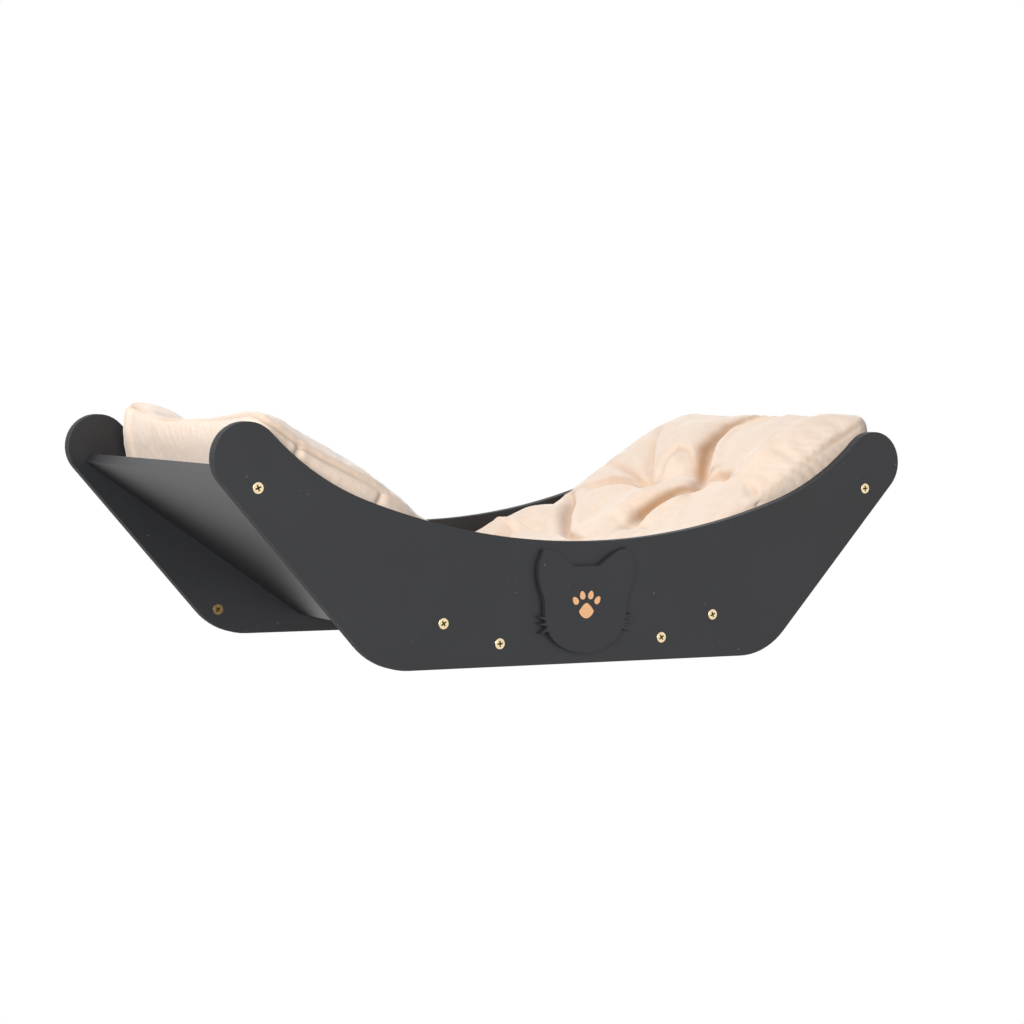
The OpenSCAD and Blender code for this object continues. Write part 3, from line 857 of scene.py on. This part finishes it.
def cushion_rest_shape():
    """Measures s, v and n of each lattice point, its level from base to top, its distance to the seam
    along the top or base, and the faces."""
    along, across, up = lines(-left_end, right_end), lines(-half_depth, half_depth), lines(0.0, BORDER)
    numbers, quads = box_lattice(along, across, up)
    s, v, n = along[numbers[:, 0]], across[numbers[:, 1]], up[numbers[:, 2]]
    end = np.where(s < 0, left_end, right_end)
    edge = np.maximum(np.minimum(half_depth - np.abs(v), end - np.abs(s)), 0.0)
    out_s = np.maximum(np.abs(s) - (end - PLAN_CORNER), 0.0)
    out_v = np.maximum(np.abs(v) - (half_depth - PLAN_CORNER), 0.0)
    far = np.maximum(np.hypot(out_s, out_v), 1e-9)
    shrink = np.where((out_s > 0) & (out_v > 0), np.maximum(out_s, out_v) / far, 1.0)
    s = np.sign(s) * (np.minimum(np.abs(s), end - PLAN_CORNER) + out_s * shrink)
    v = np.sign(v) * (np.minimum(np.abs(v), half_depth - PLAN_CORNER) + out_v * shrink)
    level = n / BORDER
    bulge = BORDER_BULGE * (1 - (2 * level - 1) ** 2)
    drawn_v = SIDE_DRAW * np.cos(np.pi / 2 * np.clip(s / end, -1, 1)) ** 2
    drawn_s = END_DRAW * np.cos(np.pi / 2 * np.clip(v / half_depth, -1, 1)) ** 2
    reach_v = (half_depth - BORDER_BULGE - drawn_v + bulge) / half_depth
    reach_s = (end - BORDER_BULGE - drawn_s * (np.abs(s) / end) ** 2 + END_BULGE * bulge) / end
    bottom = SEAM_LIFT * np.exp(-edge / SEAM_LIFT_REACH)
    top = crown_top(s / MM, v / MM, edge / MM) * MM
    n = bottom + (top - bottom) * level
    near_end = np.clip((np.abs(s) - end) / END_LEAN_REACH + 1, 0.0, 1.0)
    lean = np.sign(s) * END_LEAN * near_end ** 2 * (1 - level)
    return s * reach_s - lean, v * reach_v, n, level, edge, quads


# velvet: patches and streaks of the pile's lie, and the pile itself, drawn coarser than it is to show
LIE_PATCH = 38 * MM
LIE_STREAK = 7 * MM
LIE_STRENGTH = 0.5
LIE_DEPTH = 1.6 * MM
LIE_LEVELS = (0.7, 1.3)
PILE = 0.9 * MM
PILE_STRENGTH = 0.3
PILE_DEPTH = 0.25 * MM


def velvet():
    """Short-pile polyester velvet: cream, with a soft pale sheen where it turns away from the eye.

    Its pile lies in patches that catch the light, and it is painted brown in its folds and along its top
    seams, as painted shade."""
    material, tree = new_material("cream_velvet")
    place = add(tree, "ShaderNodeTexCoord").outputs["Object"]
    patches = add(tree, "ShaderNodeTexNoise", [("Vector", place)], Scale=1 / LIE_PATCH, Detail=3.0)
    streaks = add(tree, "ShaderNodeTexNoise", [("Vector", place)], Scale=1 / LIE_STREAK, Detail=3.0)
    pile = add(tree, "ShaderNodeTexNoise", [("Vector", place)], Scale=1 / PILE, Detail=2.0)
    nap = add(tree, "ShaderNodeMath", [(0, patches.outputs["Fac"]), (1, streaks.outputs["Fac"])],
              operation="ADD")
    shade = add(tree, "ShaderNodeMapRange", [("Value", nap.outputs[0])],
                From_Min=LIE_LEVELS[0], From_Max=LIE_LEVELS[1])
    tone = add(tree, "ShaderNodeMix", [(0, shade.outputs[0])],
               [(6, colour("#ecd5c0")), (7, colour("#f0dccb"))], data_type="RGBA")
    # painted shade: the cream turns brown where the point attribute marks a fold bank, a crease or a top
    # seam
    painted_shade = add(tree, "ShaderNodeAttribute", attribute_name="painted_fold_shade")
    tone_and_painted_shade = add(tree, "ShaderNodeMix", [(0, painted_shade.outputs["Fac"]), (6, tone.outputs[2])],
                 [(7, colour("#b0855e"))], data_type="RGBA")
    lie = add(tree, "ShaderNodeBump", [("Height", streaks.outputs["Fac"])],
              Strength=LIE_STRENGTH, Distance=LIE_DEPTH)
    bump = add(tree, "ShaderNodeBump", [("Height", pile.outputs["Fac"]), ("Normal", lie.outputs[0])],
               Strength=PILE_STRENGTH, Distance=PILE_DEPTH)
    cloth = add(tree, "ShaderNodeBsdfPrincipled",
                [("Base Color", tone_and_painted_shade.outputs[2]), ("Normal", bump.outputs[0])],
                Roughness=0.95, Specular_IOR_Level=0.15,
                Sheen_Weight=0.5, Sheen_Roughness=0.5, Sheen_Tint=colour("#ffffff"))
    add(tree, "ShaderNodeOutputMaterial", [("Surface", cloth.outputs[0])])
    return material


# stuffing: the cover is cut a little too large, and swells under pressure where nothing holds it
PRESSURE = 2.5
EXTRA_CLOTH = 0.012
SWELL_FRAMES = 16
SWELL_CAP = 7 * MM

# how firmly points keep their places, from 0 to 1, and how far around a fold or tuft that reaches
LOOSE_HOLD = 0.15
FOLD_HOLD = 0.9
BORDER_HOLD = 0.4
SEAM_HOLD = 0.8
HELD_FOLD_WIDTH = 0.7
HELD_FOLD_STRENGTH = 0.35
HELD_TUFT = 5 * MM

# levels beyond which a point counts as on the top or on the base
TOP_LEVEL = 0.999
BASE_LEVEL = 0.001


def holds(s, v, level, edge):
    """How firmly each point keeps its place: wholly at the tufts and on the base, and less elsewhere."""
    held = np.full(len(s), LOOSE_HOLD)
    on_top = level > TOP_LEVEL
    for depth, width, lean, route in FOLDS:
        away, side, strength = along_route(s / MM, v / MM, route)
        in_fold = on_top & (away < HELD_FOLD_WIDTH * width) & (strength > HELD_FOLD_STRENGTH)
        held = np.where(in_fold, FOLD_HOLD, held)
    for ts, tv in TUFTS:
        held = np.where(on_top & (np.hypot(s - ts * MM, v - tv * MM) < HELD_TUFT), 1.0, held)
    held = np.where(~on_top, BORDER_HOLD, held)
    held = np.where(on_top & (edge < 0.5 * SEAM_LINE), SEAM_HOLD, held)
    return np.where(level < BASE_LEVEL, 1.0, held)


def places_of(mesh):
    flat = np.empty(len(mesh.vertices) * 3)
    mesh.vertices.foreach_get("co", flat)
    return flat.reshape(-1, 3)


def swell(piece, held):
    """Inflates the cover by cloth simulation, and returns the places of its points."""
    group = piece.vertex_groups.new(name="held")
    for firmness in np.unique(held):
        chosen = [int(i) for i in np.nonzero(held == firmness)[0]]
        group.add(chosen, float(firmness), "REPLACE")
    cloth = piece.modifiers.new("stuffing", "CLOTH")
    cloth.settings.quality = 6
    cloth.settings.mass = 0.2
    cloth.settings.tension_stiffness = 12
    cloth.settings.compression_stiffness = 8
    cloth.settings.shear_stiffness = 4
    cloth.settings.bending_stiffness = 1.5
    cloth.settings.use_pressure = True
    cloth.settings.uniform_pressure_force = PRESSURE
    cloth.settings.shrink_min = -EXTRA_CLOTH
    cloth.settings.shrink_max = -EXTRA_CLOTH
    cloth.settings.vertex_group_mass = "held"
    cloth.settings.pin_stiffness = 1.0
    cloth.settings.effector_weights.gravity = 0
    cloth.collision_settings.use_collision = False
    cloth.point_cache.frame_end = SWELL_FRAMES
    scene = bpy.context.scene
    for number in range(1, SWELL_FRAMES + 1):
        scene.frame_set(number)
    moved = places_of(piece.evaluated_get(bpy.context.evaluated_depsgraph_get()).data)
    piece.modifiers.remove(cloth)
    piece.vertex_groups.clear()
    scene.frame_set(1)
    return moved


def refine(piece, channels):
    """Applies one subdivision and returns the channels at the new points."""
    for name, values in channels.items():
        piece.data.attributes.new(name, "FLOAT", "POINT").data.foreach_set("value", values)
    smooth = piece.modifiers.new("smooth_cover", "SUBSURF")
    smooth.levels = smooth.render_levels = 1
    graph = bpy.context.evaluated_depsgraph_get()
    fine = bpy.data.meshes.new_from_object(piece.evaluated_get(graph))
    piece.modifiers.remove(smooth)
    piece.data = fine
    got = {}
    for name in channels:
        values = np.empty(len(fine.vertices))
        fine.attributes[name].data.foreach_get("value", values)
        got[name] = values
    for name in channels:
        fine.attributes.remove(fine.attributes[name])
    return got


# The thread draws the cloth in along each seam, tightly in some places and loosely in others.
SEAM_GROOVE = 2.6 * MM
SEAM_WIDTH = 2.4 * MM
# painted shade along the top seams, as a share of the seam's pull
SEAM_PAINTED_SHADE = 0.4
TENSION_MIDDLE = 0.6
TENSION_SWING = 0.4
TENSION_WAVE = 17 * MM
TENSION_DRIFT = 39 * MM
SLACK = 0.8
SLACK_AT = 235 * MM
SLACK_REACH = 65 * MM


def seam_tension(s, v):
    """How tightly the seam is drawn at each place."""
    drift = 1.8 * np.sin((s - v) / TENSION_DRIFT)
    tension = TENSION_MIDDLE + TENSION_SWING * np.sin((s + v) / TENSION_WAVE + drift)
    return tension * (1 - SLACK * peak(s - SLACK_AT, SLACK_REACH, 4))


# The cloth puckers beside the stitches. The puckers come in groups, and their pitch wanders.
PUCKER = 0.9 * MM
PUCKER_PITCH = 11 * MM
PUCKER_REACH = 13 * MM
PITCH_WANDER = 31 * MM
PITCH_DRIFT = 19 * MM
GROUP_WAVE = 13 * MM
GROUP_DRIFT = 47 * MM


def puckers(s, v, level, to_seam):
    """Depth of the puckers beside the seams, below nought where they stand up."""
    bend = 2.4 * np.sin((s - v) / PITCH_WANDER) + 1.6 * np.sin(5 * level + (s + v) / PITCH_DRIFT)
    wave = np.sin(2 * np.pi * (s + v) / PUCKER_PITCH + bend)
    drift = 1.9 * np.sin((s + v) / GROUP_DRIFT)
    wave = wave * (0.5 + 0.5 * np.sin((s - 0.6 * v) / GROUP_WAVE + drift))
    return PUCKER * 0.5 * wave * np.exp(-to_seam / PUCKER_REACH) * (1 - np.exp(-to_seam / SEAM_WIDTH))


# Each fold has a sharp crease at its bottom, which deep folds have in full, and painted shade darkens it.
# Its width and the folds' depths are in mm, as in FOLDS.
CREASE = 1.6 * MM
CREASE_WIDTH = 2.4
CREASE_FADE = 6 * MM
CREASE_PAINTED_SHADE = 0.6
FULL_CREASE_DEPTH = 9

# Painted shade darkens the bank of a deep fold. Where and how widely is in widths of the fold.
SHADE_FROM_DEPTH = 5
SHADE_FULL_AFTER = 7
SHADE_AT = 2.0
SHADE_WIDTH = 0.8
SHADE_LIMIT = 3.2


def creases(s, v, edge):
    """Depth of the creases in the folds, and the painted shade on the folds' banks and creases, at each
    place of the top.
    """
    fade = 1 - peak(edge, CREASE_FADE)
    sunk = np.zeros(s.shape)
    tint = np.zeros(s.shape)
    for depth, width, lean, route in FOLDS:
        away, side, strength = along_route(s / MM, v / MM, route)
        sharp = min(1, depth / FULL_CREASE_DEPTH) * strength * peak(away, CREASE_WIDTH)
        sunk = sunk + fade * CREASE * sharp
        painted_shade = min(1, max(0, depth - SHADE_FROM_DEPTH) / SHADE_FULL_AFTER) * strength
        on_bank = peak(away * side - SHADE_AT * lean * width, SHADE_WIDTH * width)
        beside = peak(away, SHADE_LIMIT * width, 4)
        tint = np.maximum(tint, fade * painted_shade * beside * on_bank)
        tint = np.maximum(tint, fade * CREASE_PAINTED_SHADE * sharp)
    return sunk, tint


# The border strip is joined at three places of the front, and at one place of the left end, where
# it also has one soft fold.
BORDER_JOINS = (-281 * MM, -208 * MM, 208 * MM)
END_JOIN = 106 * MM
END_FOLD = 4 * MM
END_FOLD_AT = 62 * MM
OUTER_SHARE = 0.9


def border_joins(s, v, level):
    """Depth of the joins and of the fold in the border strip."""
    on_border = (level > BASE_LEVEL) & (level < TOP_LEVEL)
    on_front = on_border & (v < 0) & (np.abs(v) > OUTER_SHARE * half_depth)
    on_end = on_border & (s < -OUTER_SHARE * left_end)
    sunk = np.zeros(s.shape)
    for join in BORDER_JOINS:
        sunk = sunk + on_front * SEAM_GROOVE * peak(s - join, SEAM_WIDTH)
    sunk = sunk + on_end * SEAM_GROOVE * peak(v - END_JOIN, 2 * SEAM_WIDTH)
    return sunk + on_end * END_FOLD * (1 - level) * peak(v - END_FOLD_AT, 3 * SEAM_WIDTH)


def sew(piece, s, v, level, edge):
    """Draws the seams, the puckers and the sharp bottom of each fold into the finished form, and stores the
    painted shade of folds and seams.
    """
    mesh = piece.data
    places = places_of(mesh)
    normals = np.empty(len(mesh.vertices) * 3)
    mesh.vertices.foreach_get("normal", normals)
    normals = normals.reshape(-1, 3)
    on_top, on_base = level > TOP_LEVEL, level < BASE_LEVEL
    to_seam = np.where(on_top | on_base, edge, BORDER * np.minimum(level, 1 - level))
    tight = seam_tension(s, v) * peak(to_seam, SEAM_WIDTH)
    sunk = SEAM_GROOVE * tight + puckers(s, v, level, to_seam)
    creased, tint = creases(s, v, edge)
    sunk = sunk + on_top * creased + border_joins(s, v, level)
    # painted shade: brown along the top seams and in the folds, kept as a point attribute
    tint = np.maximum(SEAM_PAINTED_SHADE * tight * (level > 0.5), on_top * tint)
    mesh.attributes.new("painted_fold_shade", "FLOAT", "POINT").data.foreach_set("value", tint)
    mesh.vertices.foreach_set("co", (places - normals * sunk[:, None]).ravel())
    mesh.update()


def keep_in_nest(mesh):
    """Moves points that would lie in a panel or below the underside back to its face."""
    s, v, n = off_path(places_of(mesh))
    inside = on_path(s, np.clip(v, -half_depth, half_depth), np.maximum(n, 0.0))
    mesh.vertices.foreach_set("co", inside.ravel())


def make_cushion():
    s, v, n, level, edge, quads = cushion_rest_shape()
    places = on_path(s, v, n)
    mesh = bpy.data.meshes.new("cushion_velvet_cover")
    mesh.from_pydata(places.tolist(), [], quads)
    piece = new_object("cushion_velvet_cover", mesh)
    shift = swell(piece, holds(s, v, level, edge)) - places
    far = np.maximum(np.linalg.norm(shift, axis=1), 1e-9)
    places = places + shift * np.minimum(1.0, SWELL_CAP / far)[:, None]
    mesh.vertices.foreach_set("co", places.ravel())
    mesh.update()
    got = refine(piece, {"along": s, "across": v, "level": level, "edge": edge})
    sew(piece, got["along"], got["across"], got["level"], got["edge"])
    keep_in_nest(piece.data)
    for face in piece.data.polygons:
        face.use_smooth = True
    piece.data.materials.append(velvet())
    piece.data.update()
    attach(piece, "cushion")
    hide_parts("cushion_cover")
    return piece


cushion = make_cushion()


# Filling: carded polyester fibre, packed loose and wholly hidden in the closed cover.
# The velvet cover stands for both CAD pieces, and has nothing to show through it.
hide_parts("cushion_filling")
